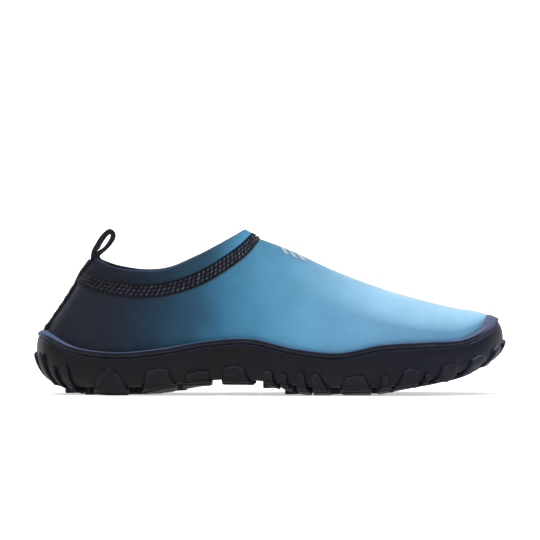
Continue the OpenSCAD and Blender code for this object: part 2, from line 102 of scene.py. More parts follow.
RIM = [
    [-136.9, -1.5, 38.6], [-131.3, -19.5, 35.6], [-116, -31, 28.6], [-92, -35.5, 25.7], [-65, -36, 28],
    [-38, -36, 32.6], [-12, -38.5, 34], [14, -43.5, 28.3], [40, -47.5, 25.8], [66, -48.5, 30.6],
    [91, -44.5, 32], [114, -32.5, 33.4], [128, -16, 40.5], [132, 3.5, 47.3], [129.5, 21.5, 43],
    [117, 36.5, 35.5], [94, 45.5, 32.5], [68, 48.5, 31], [42, 46.5, 27], [15, 40.5, 29.5],
    [-11, 35, 35.5], [-38, 32.5, 35], [-65, 33, 29.5], [-92, 32.5, 26], [-116, 28, 28.6],
    [-131.3, 16.5, 35.6],
]
ZB = [8, 5.2, 5, 5, 6, 8.5, 9.5, 8, 5.5, 5, 5, 6.6, 10.4, 16, 25.5]
ZL = [12, 2, 0, 0, 1.5, 5, 6, 4.5, 0.2, 0, 0, 3.4, 7, 12, 23]
ZO = [14, 3, 0.3, 0, 4.8, 6.2, 6.3, 6, 2.1, 1.5, 2, 4.8, 7.8, 13.4, 28]
ZM = [19, 17.5, 17, 17, 16.8, 16.5, 16, 15.3, 14.2, 13.4, 13.2, 14, 17, 23, 32]
D0 = mir([-15, -11, -7] + [-5] * 8 + [-6, -7, -8])
D1 = mir([-3, -1.5, 0.5, 1.5] + [2] * 10)
D2 = mir([5.6, 4.4] + [3] * 10 + [7, 12])
D3 = mir([1.6, 1, 0.4] + [0.3] * 9 + [1.8, 3.8])
LIP = mir([3.4, 3, 2.6] + [2.4] * 8 + [2.5, 2.8, 3])
DM = mir([7, 5.5, 4] + [3.2] * 8 + [3.5, 4, 4.5])
DF = mir([15, 11, 8] + [6.5] * 8 + [7, 8, 9])


def arc(points):
    """Distance along a line of points, from its first one."""
    return np.concatenate([[0], np.cumsum(np.linalg.norm(np.diff(points, axis=0), axis=1))])


def rimp(u):
    return closed(RIM, u)


def rimn(u):
    d = rimp(u + 0.06) - rimp(u - 0.06)
    length = np.hypot(d[..., 0], d[..., 1])
    return np.stack([d[..., 1] / length, -d[..., 0] / length, 0 * length], -1)


def kof(u):
    w = np.asarray(u, float) % RING
    return np.minimum(w, RING - w)


def side(u):
    return np.where(np.asarray(u, float) % RING <= RING // 2, -1.0, 1.0)


def along(table, x):
    return opened(table, (x + 140) / 20)


def zb(x):
    return along(ZB, x)


def zl(x):
    return np.maximum(0, along(ZL, x) - 0.04)


def zo(x):
    return np.maximum(0, along(ZO, x) - 0.04)


def zm(x):
    return along(ZM, x)


def at(u, d, z):
    p, n = rimp(u), rimn(u)
    q = p + n * np.asarray(d * np.ones(np.shape(u)))[..., None]
    q[..., 2] = z
    return q


def xat(u, d):
    return at(u, d, 0)[..., 0]


def wall(u, t):
    z3, d0 = rimp(u)[..., 2] - 4, closed(D0, u)
    z0 = zb(xat(u, d0))
    d = bez(d0, closed(D1, u), closed(D2, u), closed(D3, u), t)
    z = bez(z0, z0 + 1, z0 + (z3 - z0) * 0.55, z3, t)
    return d, z


# ---- surface of the upper
SEAM = [
    [-113.8, 0, 70.6], [-109, 16.5, 67.9], [-97, 26, 64.6], [-80, 30, 62.2], [-61, 31, 63.5], [-40, 29, 70.6],
    [-19, 21.5, 83.8], [-8, 0, 93.3],
]
EDGE = [
    [-104.8, 0, 82.8], [-101, 14, 80], [-92, 23, 76.6], [-77.5, 27.5, 74.6], [-61.5, 28, 75.9],
    [-44, 24.5, 83.2],
    [-25.5, 15.5, 93.4], [-15.5, 0, 99.2],
]
RISE = [0, 1, 0.9, 0.2, 0, 0, 0, 0]


def loop14(table):
    out = []
    for i in range(COLLAR):
        k = min(i, COLLAR - i)
        s, p = (-1 if i <= 7 else 1), table[k]
        y = s * p[1] + MID_Y + ((k - 5) * 0.75 if k >= 6 else 0)
        out.append([p[0], y, p[2] + (RISE[k] if s > 0 else 0)])
    return np.array(out)


SEAM, EDGE = loop14(SEAM), loop14(EDGE)
RIDGE = [
    [-8, 0, 93.3], [12, 0.2, 85.8], [37, 0.8, 74.2], [62, 1.4, 64.6], [86, 2.2, 57.3], [107, 3, 52.1],
    [122, 3.5, 49.6],
]
FOOT = mir([
    [-3.5, 7], [-3, 10.5], [-1, 14], [1, 14], [1.5, 14], [1.5, 15], [1, 17], [0, 17], [0, 15], [0, 14],
    [0, 12],
    [0.5, 9], [0.5, 6], [-3, 1.5],
])
HEAD = mir([
    [-5.5, 0, -12.6], [-6.5, 4, -12.6], [-5, 4, -14], [-3, 3, -15], [0, 3, -15], [4.5, 5.5, -15], [6, 9, -15],
    [5, 23, -2], [7, 25, -3], [8, 26, -3.2], [8, 26, -2.6], [8, 21, -2.2], [6, 10, -1.5], [3, 0, -0.8],
])


def rib(u):
    u = np.asarray(u, float)
    p0 = at(u, -closed(LIP, u) - 0.1, rimp(u)[..., 2])
    n, f, h, k = rimn(u), closed(FOOT, u), closed(HEAD, u), kof(u)
    loop = closed(SEAM, np.where(side(u) < 0, k, COLLAR - k))
    p3 = np.where((k <= 7)[..., None], loop, opened(RIDGE, np.maximum(k - 7, 0)))
    p1 = p0 + n * f[..., :1]
    p1[..., 2] += f[..., 1]
    p2 = p3 + np.stack([h[..., 0], side(u) * h[..., 1], h[..., 2]], -1)
    return p0, p1, p2, p3


def up(u, v):
    v = np.asarray(v * np.ones(np.shape(u)))[..., None]
    return bez(*rib(u), v)


def raw_n(u, v):
    v = np.where(v > 0.99, v - 0.02, v)
    du = up(u + 0.05, v) - up(u - 0.05, v)
    dv = up(u, np.minimum(1, v + 0.02)) - up(u, np.maximum(0, v - 0.02))
    return unit(np.cross(du, dv))


def un(u, v):
    u = np.asarray(u, float)
    v = np.asarray(v * np.ones(np.shape(u)))
    n, k = raw_n(u, v), kof(u)
    w = np.where(k < 7.1, np.where(side(u) < 0, 7.15, 18.85), u)
    top = (v > 0.995) & (k > 6.9) & (k < 12.99)
    return np.where(top[..., None], unit(raw_n(w, np.ones_like(v)) + raw_n(RING - w, np.ones_like(v))), n)


def skin(u, v, d):
    return up(u, v) + un(u, v) * np.asarray(d * np.ones(np.shape(u)))[..., None]


def cuff_frame(u):
    s, e = closed(SEAM, u), closed(EDGE, u)
    w = unit(e - s)
    t = closed(SEAM, u + 0.1) + closed(EDGE, u + 0.1) - closed(SEAM, u - 0.1) - closed(EDGE, u - 0.1)
    return s, w, unit(np.cross(t, w)), np.linalg.norm(e - s, axis=-1)


def down_dir(u):
    k = np.where(u <= 7, u, RING - (COLLAR - u))
    return unit(up(k, 0.93) - up(k, 1.0))


# ---- meshes
def lattice(m, n, wrap_m=False, wrap_n=False, base=0):
    j, i = np.meshgrid(np.arange(m if wrap_m else m - 1), np.arange(n if wrap_n else n - 1), indexing="ij")
    j2, i2 = (j + 1) % m, (i + 1) % n
    return (np.stack([j * n + i, j * n + i2, j2 * n + i2, j2 * n + i], -1).reshape(-1, 4) + base).tolist()


def tube(m, n):
    """Faces of m rings of n points, closed at both ends."""
    ends = [list(range(n))[::-1], [(m - 1) * n + i for i in range(n)]]
    return lattice(m, n, False, True) + ends


def new_object(name, data):
    ob = bpy.data.objects.new(name, data)
    bpy.context.scene.collection.objects.link(ob)
    return ob


def smooth(me):
    me.polygons.foreach_set("use_smooth", np.ones(len(me.polygons), dtype=bool))


def volume(p, faces):
    total = 0.0
    for size in (3, 4):
        f = np.array([x for x in faces if len(x) == size])
        if len(f):
            for a, b in ((1, 2), (2, 3))[: size - 2]:
                total += float((p[f[:, 0]] * np.cross(p[f[:, a]], p[f[:, b]])).sum())
    return total


def piece(name, pts, faces, mats, nodes, uv=None, index=None, sharp=None, blend=None):
    pts = np.asarray(pts, float).reshape(-1, 3)
    if volume(pts, faces) < 0:
        faces = [f[::-1] for f in faces]
    me = bpy.data.meshes.new(name)
    me.from_pydata((pts * K).tolist(), [], faces)
    mats = mats if isinstance(mats, list) else [mats]
    for m in mats:
        me.materials.append(m)
    if index is not None:
        me.polygons.foreach_set("material_index", np.asarray(index, dtype=np.int32))
    if uv is not None:
        layer = me.uv_layers.new(name="cut")
        where = np.empty(len(me.loops), dtype=np.int32)
        me.loops.foreach_get("vertex_index", where)
        layer.data.foreach_set("uv", np.asarray(uv, float).reshape(-1, 2)[where].ravel())
    smooth(me)
    me.update()
    if sharp:
        me.set_sharp_from_angle(angle=math.radians(sharp))
    ob = new_object(name, me)
    if blend:
        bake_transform(ob)
    else:
        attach(ob, "shoe")
    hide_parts(*nodes)
    return ob


def merged(parts):
    """Joins (points, faces) pairs, each turned the right way out."""
    pts, faces, base = [], [], 0
    for p, f in parts:
        p = np.asarray(p, float).reshape(-1, 3)
        if volume(p - p.mean(0), f) < 0:
            f = [x[::-1] for x in f]
        pts.append(p)
        faces += [[i + base for i in x] for x in f]
        base += len(p)
    return np.concatenate(pts), faces


def ring_cap(n, base):
    """Closes a ring whose station i faces station n - i."""
    out = [[base, base + 1, base + n - 1]]
    for i in range(1, n // 2 - 1):
        out.append([base + i, base + i + 1, base + n - i - 1, base + n - i])
    out.append([base + n // 2 - 1, base + n // 2, base + n // 2 + 1])
    return out


def threads(a, b, lift, r, rings, sides=6):
    """Short bowed threads from a to b that stand up by lift: one closed tapered tube for each row."""
    a, b, lift = (np.asarray(x, float) for x in (a, b, lift))
    n = len(a)
    t = np.linspace(0, 1, rings)
    mid = a[:, None] * (1 - t)[None, :, None] + b[:, None] * t[None, :, None]
    mid = mid + lift[:, None] * np.sin(np.pi * t)[None, :, None]
    along_it = unit(b - a)
    out = unit(lift)
    across = unit(np.cross(along_it, out))
    size = r * np.sqrt(np.clip(1 - (2 * t - 1) ** 4, 0.08, 1))
    ang = np.arange(sides) * 2 * np.pi / sides
    c, s = (fn(ang)[None, None, :, None] for fn in (np.cos, np.sin))
    ring = (across[:, None, None] * c + out[:, None, None] * s) * size[None, :, None, None]
    pts = (mid[:, :, None] + ring).reshape(-1, 3)
    one = np.array(lattice(rings, sides, False, True))
    faces = (one[None] + (np.arange(n) * rings * sides)[:, None, None]).reshape(-1, 4).tolist()
    for k in range(n):
        base = k * rings * sides
        faces.append([base + i for i in range(sides)][::-1])
        faces.append([base + (rings - 1) * sides + i for i in range(sides)])
    uv = np.zeros((n, rings, sides, 2))
    uv[..., 0] = (np.linalg.norm(b - a, axis=-1)[:, None] * t[None])[:, :, None]
    uv[..., 1] = (np.arange(sides) / sides)[None, None]
    return pts, faces, uv.reshape(-1, 2)


def strap(outer, inner, half, r, y0, n_side):
    """A webbing strap: its thickness lies between two lines of the X-Z plane, its width runs along Y."""
    outer, inner = np.asarray(outer, float), np.asarray(inner, float)
    m = len(outer)
    run = arc(outer)
    thick = np.linalg.norm(outer - inner, axis=1)
    corner = np.minimum(r, thick * 0.46)
    ang = np.linspace(0, np.pi / 2, 4)
    flat = np.linspace(-1, 1, n_side)[1:-1]
    rows, uvs = [], []
    for k in range(m):
        c, w, th = corner[k], half, thick[k]
        sec = [(-w + c - c * math.cos(a), th - c + c * math.sin(a)) for a in ang]
        sec += [(y * (w - c), th) for y in flat]
        sec += [(w - c + c * math.sin(a), th - c + c * math.cos(a)) for a in ang]
        sec += [(w - c + c * math.cos(a), c - c * math.sin(a)) for a in ang]
        sec += [(-y * (w - c), 0.0) for y in flat]
        sec += [(-w + c - c * math.sin(a), c - c * math.cos(a)) for a in ang]
        o, i = outer[k], inner[k]
        d = (o - i) / max(th, 1e-6)
        rows.append([[i[0] + d[0] * s, y0 + y, i[1] + d[1] * s] for y, s in sec])
        uvs.append([[run[k], y] for y, s in sec])
    return np.array(rows), tube(m, len(rows[0])), np.array(uvs)


# ---- materials
def srgb(r, g, b):
    lin = [(c / 255 / 12.92 if c <= 10 else ((c / 255 + 0.055) / 1.055) ** 2.4) for c in (r, g, b)]
    return (*lin, 1.0)


class Graph:
    def __init__(self, name, rough, specular=0.5, sheen=0.0, sheen_rough=0.5):
        self.mat = bpy.data.materials.new(name)
        self.mat.use_nodes = True
        self.nt = self.mat.node_tree
        self.bsdf = self.nt.nodes["Principled BSDF"]
        self.bsdf.inputs["Roughness"].default_value = rough
        self.bsdf.inputs["Specular IOR Level"].default_value = specular
        self.bsdf.inputs["Sheen Weight"].default_value = sheen
        self.bsdf.inputs["Sheen Roughness"].default_value = sheen_rough
        self.coords = self.nt.nodes.new("ShaderNodeTexCoord")

    def add(self, kind, inputs=None, **props):
        n = self.nt.nodes.new(kind)
        for k, v in props.items():
            setattr(n, k, v)
        for k, v in (inputs or {}).items():
            if isinstance(v, bpy.types.NodeSocket):
                self.nt.links.new(v, n.inputs[k])
            else:
                n.inputs[k].default_value = v
        return n

    def place(self, uv=False, scale=(1, 1, 1), turn=(0, 0, 0)):
        m = self.add("ShaderNodeMapping", {"Vector": self.coords.outputs["UV" if uv else "Object"]})
        m.inputs["Scale"].default_value = scale
        m.inputs["Rotation"].default_value = turn
        return m.outputs["Vector"]

    def noise(self, scale, detail=3.0, rough=0.5, vector=None):
        sizes = {"Scale": scale, "Detail": detail, "Roughness": rough}
        at = {"Vector": vector or self.coords.outputs["Object"]}
        return self.add("ShaderNodeTexNoise", {**at, **sizes}).outputs["Fac"]

    def voronoi(self, scale, **props):
        at = {"Vector": self.coords.outputs["Object"], "Scale": scale}
        return self.add("ShaderNodeTexVoronoi", at, **props).outputs["Distance"]

    def wave(self, pitch, vector, axis="X", distort=0.0):
        n = self.add(
            "ShaderNodeTexWave",
            {"Vector": vector, "Scale": 0.31416 / pitch, "Distortion": distort, "Detail": 1.0},
            bands_direction=axis,
        )
        return n.outputs["Fac"]

    def axes(self, space="Object"):
        return self.add("ShaderNodeSeparateXYZ", {"Vector": self.coords.outputs[space]}).outputs

    def times(self, colour, value):
        grey = self.add("ShaderNodeCombineColor", {0: value, 1: value, 2: value}).outputs[0]
        return self.tint(colour, 1.0, grey, "MULTIPLY")

    def math(self, op, a, b=0.0):
        return self.add("ShaderNodeMath", {0: a, 1: b}, operation=op).outputs[0]

    def mul(self, a, b):
        return self.math("MULTIPLY", a, b)

    def span(self, value, lo, hi, a=0.0, b=1.0):
        ends = {"From Min": lo, "From Max": hi, "To Min": a, "To Max": b}
        return self.add("ShaderNodeMapRange", {"Value": value, **ends}).outputs["Result"]

    def ramp(self, fac, stops, mode="LINEAR"):
        n = self.add("ShaderNodeValToRGB", {"Fac": fac})
        n.color_ramp.interpolation = mode
        while len(n.color_ramp.elements) < len(stops):
            n.color_ramp.elements.new(0.5)
        for e, (place, colour) in zip(n.color_ramp.elements, sorted(stops)):
            e.position = place
            e.color = colour
        return n.outputs["Color"]

    def tint(self, colour, fac, other, blend="MIX"):
        n = self.add("ShaderNodeMix", data_type="RGBA", blend_type=blend)
        self.link(fac, n.inputs[0])
        self.link(colour, n.inputs[6])
        self.link(other, n.inputs[7])
        return n.outputs[2]

    def link(self, value, socket):
        if isinstance(value, bpy.types.NodeSocket):
            self.nt.links.new(value, socket)
        else:
            socket.default_value = value

    def bump(self, height, distance, strength=1.0, under=None):
        n = self.add("ShaderNodeBump", {"Height": height, "Distance": distance, "Strength": strength})
        if under:
            self.nt.links.new(under, n.inputs["Normal"])
        return n.outputs["Normal"]

    def done(self, colour, rough=None, normal=None):
        self.link(colour, self.bsdf.inputs["Base Color"])
        if rough is not None:
            self.link(rough, self.bsdf.inputs["Roughness"])
        if normal is not None:
            self.link(normal, self.bsdf.inputs["Normal"])
        return self.mat


FADE = [
    (0.00, srgb(29, 31, 40)), (0.16, srgb(29, 34, 46)), (0.21, srgb(27, 42, 58)),
    (0.27, srgb(32, 58, 78)), (0.33, srgb(42, 80, 104)), (0.38, srgb(52, 102, 132)),
    (0.44, srgb(66, 128, 162)), (0.50, srgb(76, 140, 175)), (0.58, srgb(85, 148, 183)),
    (0.66, srgb(90, 149, 185)), (0.76, srgb(90, 147, 183)), (0.88, srgb(89, 144, 180)),
    (1.00, srgb(97, 151, 187)),
]


def dim(colour, by):
    return (*[c * by for c in colour[:3]], 1.0)


def neoprene(name, shade, fold=0.0):
    """Jersey-faced neoprene: a fade from near black at the heel to blue at the toe, on a fine knit; up-facing
    surfaces towards the toe carry a painted highlight that makes them pale blue.
    """
    g = Graph(name, 0.6, 0.3, 0.1, 0.35)
    x = g.axes()
    # the pale face fabric has more sheen and specular than the near black heel
    front = g.span(x["X"], -0.03, 0.06)
    g.link(g.mul(front, 0.16), g.bsdf.inputs["Sheen Weight"])
    g.link(g.span(front, 0, 1, 0.08, 0.36), g.bsdf.inputs["Specular IOR Level"])
    lean = g.mul(x["Z"], -0.12)
    place = g.math("ADD", g.math("ADD", x["X"], lean), g.span(g.noise(26, 2), 0.3, 0.7, -0.004, 0.004))
    fade = g.ramp(g.span(place, -0.142, 0.132), [(p, dim(c, shade)) for p, c in FADE])
    up_z = g.axes("Normal")["Z"]
    # painted highlight: up-facing surfaces towards the toe are mixed towards pale blue, standing in for the
    # top light
    painted_top_highlight = g.mul(g.span(up_z, 0.5, 0.97, 0, 0.72), g.span(x["X"], 0.005, 0.075))
    fade = g.tint(fade, painted_top_highlight, srgb(160, 208, 236))
    cloud = g.span(g.noise(55, 5, 0.6), 0.25, 0.75, 0.90, 1.08)
    rows = g.wave(0.00085, g.place(turn=(0, 0.18, 0)), "X", 0.6)
    cols = g.wave(0.00062, g.place(turn=(0.5, 0, 0.12)), "Z", 0.8)
    weave = g.mul(rows, cols)
    fleck = g.span(g.noise(1500, 2, 0.7), 0.3, 0.7, 0.95, 1.05)
    light = g.mul(g.mul(cloud, fleck), g.span(weave, 0, 1, 0.95, 1.05))
    colour = g.times(fade, light)
    if fold:
        # painted highlight: a pale blue line where the folded edge faces up, on the heel half
        rim = g.mul(g.span(up_z, 0.7, 0.97), g.span(x["X"], -0.02, -0.05))
        rim = g.mul(rim, g.span(x["X"], -0.1, -0.065, 0.3, 1.0))
        colour = g.tint(colour, g.mul(rim, fold), srgb(66, 96, 134))
        # painted light and shade: the cuff is made darker behind and up to 2.5 times brighter towards the
        # throat
        painted_throat_light = g.span(x["X"], -0.035, 0.0, 0.72, 2.5)
        colour = g.times(colour, painted_throat_light)
    soft = g.bump(g.noise(38, 3, 0.55), 0.0011, 0.35)
    normal = g.bump(weave, 0.00007, 0.7, soft)
    normal = g.bump(g.noise(2200, 2), 0.00005, 0.5, normal)
    return g.done(colour, g.span(g.noise(90, 4), 0.3, 0.7, 0.5, 0.68), normal)


def rubber():
    """Moulded rubber: nearly black, a little worn and dusty along its edges, with a fine grain."""
    g = Graph("outsole_rubber", 0.5, 0.12)
    x = g.axes()
    up_z = g.axes("Normal")["Z"]
    toe = g.span(x["X"], -0.02, 0.12)
    base = g.tint(srgb(8, 7, 11), toe, srgb(11, 14, 25))
    patch = g.tint(base, g.span(g.noise(70, 5, 0.6), 0.35, 0.75, 0, 0.4), srgb(21, 20, 27))
    # painted highlight: up-facing rubber at the height of the lip is tinted pale blue at the heel and lilac
    # at the toe, standing in for reflected top light
    ledge = g.mul(g.span(up_z, 0.45, 0.95), g.span(x["Z"], 0.018, 0.028))
    ledge = g.mul(ledge, g.span(g.noise(150, 4, 0.6), 0.25, 0.7, 0.55, 1.0))
    colour = g.tint(patch, ledge, g.tint(srgb(80, 96, 132), toe, srgb(98, 104, 132)))
    edge = g.span(g.add("ShaderNodeNewGeometry").outputs["Pointiness"], 0.52, 0.62)
    worn = g.mul(edge, g.span(g.noise(260, 4, 0.6), 0.35, 0.7, 0.15, 0.8))
    colour = g.tint(colour, worn, srgb(58, 60, 72))
    low = g.mul(g.span(x["Z"], 0.006, 0.0, 0, 1), g.span(g.noise(400, 4), 0.4, 0.7, 0, 0.4))
    colour = g.tint(colour, low, srgb(58, 55, 52))
    grain = g.bump(g.noise(1900, 3, 0.6), 0.00007, 0.5)
    normal = g.bump(g.noise(220, 3), 0.00035, 0.25, grain)
    rough = g.span(g.noise(120, 4), 0.3, 0.7, 0.42, 0.6)
    return g.done(colour, rough, normal)


def webbing(name, base, light):
    """Narrow-woven polyester: ribs across the strap and a herringbone of yarns."""
    g = Graph(name, 0.6, 0.15, 0.04, 0.4)
    ribs = g.wave(1.1, g.place(uv=True), "X", 0.3)
    yarn = g.wave(0.7, g.place(uv=True, turn=(0, 0, 0.7)), "X", 0.5)
    yarn2 = g.wave(0.7, g.place(uv=True, turn=(0, 0, -0.7)), "X", 0.5)
    both = g.mul(ribs, g.math("MAXIMUM", yarn, yarn2))
    colour = g.tint(base, g.mul(both, g.span(g.noise(500, 3), 0.3, 0.7, 0.5, 1.0)), light)
    fuzz = g.bump(g.noise(2600, 2), 0.00006, 0.5)
    return g.done(colour, g.span(g.noise(300, 3), 0.3, 0.7, 0.5, 0.75), g.bump(both, 0.00022, 0.8, fuzz))


def thread(name, base, light, throat_highlight=False):
    """Twisted polyester thread, with the twist running round each stitch."""
    g = Graph(name, 0.5, 0.14)
    twist = g.wave(0.55, g.place(uv=True, scale=(1, 2.2, 1), turn=(0, 0, 0.6)), "X", 0.2)
    tone = g.span(g.noise(420, 3), 0.35, 0.7, 0.0, 0.9)
    if throat_highlight:
        # painted highlight: the stitches are painted lighter towards the throat
        x = g.axes()["X"]
        tone = g.mul(tone, g.span(x, -0.1, 0.0, 0.35, 1.3))
    colour = g.tint(base, g.mul(twist, tone), light)
    return g.done(colour, g.span(g.noise(600, 2), 0.3, 0.7, 0.35, 0.55), g.bump(twist, 0.00012, 0.7))


def knit(name, base, light):
    """Open lining knit, with small loops in rows."""
    g = Graph(name, 0.8, 0.15, 0.2, 0.5)
    a = g.wave(0.0011, g.place(turn=(0, 0, 0.7)), "X", 0.5)
    b = g.wave(0.0011, g.place(turn=(0.4, 0.6, -0.7)), "Y", 0.5)
    loops = g.mul(a, b)
    colour = g.tint(base, g.mul(loops, g.span(g.noise(300, 3), 0.3, 0.7, 0.5, 1)), light)
    colour = g.tint(colour, g.span(g.noise(45, 4), 0.45, 0.8, 0, 0.3), dim(light, 0.6))
    return g.done(colour, g.span(g.noise(200, 2), 0.3, 0.7, 0.7, 0.9), g.bump(loops, 0.00025, 0.7))


def foam(name, base, dark):
    """Cut foam: fine closed cells with a few larger ones."""
    g = Graph(name, 0.85, 0.2)
    cells = g.voronoi(1100.0)
    big = g.span(g.noise(240, 3), 0.55, 0.75, 0, 1)
    colour = g.tint(base, g.mul(cells, 0.9), dark)
    colour = g.tint(colour, g.mul(big, 0.35), dark)
    return g.done(colour, g.span(g.noise(90, 2), 0.3, 0.7, 0.8, 0.95), g.bump(cells, 0.0002, 0.6))


def board(name, base, light):
    """Thermoformed fibre board, pressed smooth with short fibres showing."""
    g = Graph(name, 0.7, 0.3)
    stretch = g.place(scale=(1, 6, 1), turn=(0, 0, 0.5))
    fibre = g.noise(500, 5, 0.7, stretch)
    colour = g.tint(base, g.span(fibre, 0.4, 0.7, 0, 1), light)
    return g.done(colour, g.span(fibre, 0.3, 0.7, 0.6, 0.8), g.bump(fibre, 0.0001, 0.5))


def transfer():
    """Heat-pressed grey film, slightly crazed where the neoprene has stretched."""
    g = Graph("transfer", 0.4, 0.4)
    craze = g.voronoi(900.0, feature="DISTANCE_TO_EDGE")
    crack = g.span(craze, 0.0, 0.05, 1, 0)
    colour = g.tint(srgb(158, 170, 184), g.span(g.noise(160, 4), 0.4, 0.7, 0, 0.6), srgb(128, 140, 156))
    colour = g.tint(colour, g.mul(crack, 0.5), srgb(100, 140, 168))
    return g.done(colour, g.span(g.noise(300, 2), 0.3, 0.7, 0.32, 0.5), g.bump(crack, -0.00004, 0.5))


UPPER = neoprene("neoprene", 0.7)
# the cuff is the upper's neoprene painted darker overall, as painted shade, and its fold and throat carry
# painted highlights
CUFF = neoprene("neoprene_cuff", 0.62, fold=0.8)
RUBBER = rubber()
WEB = webbing("webbing", srgb(11, 12, 17), srgb(30, 32, 42))
THREAD = thread("thread", srgb(5, 6, 11), srgb(15, 17, 27))
# painted highlight: the raised stitches of the flatlock get a much lighter twist colour than the rest of the
# thread
KNOT_HIGHLIGHT = thread("thread_crown_highlight", srgb(20, 22, 33), srgb(112, 120, 144), True)
BED = thread("thread_bed", srgb(3, 3, 6), srgb(8, 9, 15))
STITCH = thread("tape_stitch", srgb(26, 28, 38), srgb(64, 68, 84))
INSIDE = knit("lining_knit", srgb(24, 28, 38), srgb(52, 62, 80))
COVER = knit("liner_knit", srgb(24, 26, 34), srgb(56, 62, 78))
LINER = foam("liner_foam", srgb(74, 132, 168), srgb(42, 84, 112))
MIDFOAM = foam("midsole_foam", srgb(92, 94, 100), srgb(60, 62, 68))
FELT = board("strobel_fabric", srgb(132, 134, 138), srgb(170, 172, 176))
BOARD = board("counter_board", srgb(108, 108, 102), srgb(146, 146, 138))
FILM = transfer()

for node_name, mat in (
    ("midsole", MIDFOAM), ("strobel_sock", FELT), ("heel_counter", BOARD), ("toe_puff", BOARD),
):
    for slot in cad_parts[node_name].material_slots:
        slot.material = mat


# ---- outsole
def outsole_base():
    n = 520
    u = np.arange(n) * RING / n
    top = rimp(u)[:, 2]
    rows = [at(u, *wall(u, t)) for t in np.linspace(0, 1, 22)]
    d3, lip = closed(D3, u), closed(LIP, u)
    # the lip has a larger round at the tips of the toe and the heel
    blunt = np.exp(-(((u - 13) / 1.3) ** 2)) + 0.6 * np.exp(-((np.minimum(u, RING - u) / 1.2) ** 2))
    for out, drop in (
        (-0.35, -3.92), (-0.8, -3.78), (-0.95, -3.6), (-0.9, -3.4), (-0.45, -3.2), (0.2, -3.12), (0.5, -2.95),
        (0.62, -2.6), (0.62, -2.12), (0.4, -2.0), (0.4, -1.86), (0.64, -1.74), (0.66, -1.3), (0.6, -0.75),
        (0.42, -0.35), (0.16, -0.1), (-0.2, 0.0),
    ):
        soft = blunt * ease(np.array(float(drop)), -2.6, 0.0)
        rows.append(at(u, d3 + out - 2.3 * soft, top + drop - 0.9 * soft))
    for s in (0.3, 0.6, 0.85):
        soft = blunt * (1 - s) ** 1.5
        rows.append(at(u, (d3 - 0.2 - 2.3 * soft) * (1 - s) - lip * s, top + 0.02 - 0.9 * soft))
    rows.append(at(u, -lip, top - 0.02))
    rows.append(at(u, -lip - 0.03, top - 0.5))
    deep = closed(DM, u)
    for s in (0.25, 0.5, 0.75):
        d = -lip * (1 - s) - deep * s
        rows.append(at(u, d, (top - 0.5) * (1 - s) + zm(xat(u, d)) * s))
    rows.append(at(u, -deep, zm(xat(u, -deep))))
    d = -closed(DF, u)
    rows.append(at(u, d, zb(xat(u, d)) + 4))
    m = len(rows)
    faces = lattice(m, n, False, True) + [f[::-1] for f in ring_cap(n, 0)] + ring_cap(n, (m - 1) * n)
    return np.concatenate(rows), faces


LUGS = [
    [0, 0.24, 0.78, 0.3, 0, 0.1], [13, 0.25, 0.7, 0.2, 0, 0.1],
    [0.72, 0.2, 0.84, 0.25, 0, 0.05], [1.27, 0.12, 0.62, 0.2, 0, 0.1], [1.76, 0.14, 0.74, 0.2, -0.04, 0.1],
    [2.87, 0.42, 0.82, 0.3, 0, 0.36], [3.97, 0.4, 0.7, 0.34, -0.06, 0.06], [4.79, 0.31, 0.48, 0.1, 0, 0.05],
    [5.66, 0.33, 0.56, 0.2, -0.03, 0.08], [6.42, 0.12, 0.52, 0.15, 0, 0.05], [6.76, 0.1, 0.5, 0.15, 0, 0.05],
    [7.16, 0.13, 0.62, 0.25, 0, 0.1], [7.58, 0.18, 0.62, 0.35, -0.08, 0.1], [8.4, 0.37, 0.54, 0.38, 0, 0.04],
    [9.07, 0.13, 0.5, 0.2, 0, 0.1], [9.62, 0.3, 0.62, 0.38, 0.04, 0.08], [10.08, 0.09, 0.42, 0.1, 0, 0.1],
    [10.6, 0.3, 0.6, 0.32, 0, 0.08], [11.45, 0.34, 0.64, 0.25, 0, 0.1], [12.3, 0.27, 0.68, 0.2, 0, 0.1],
]


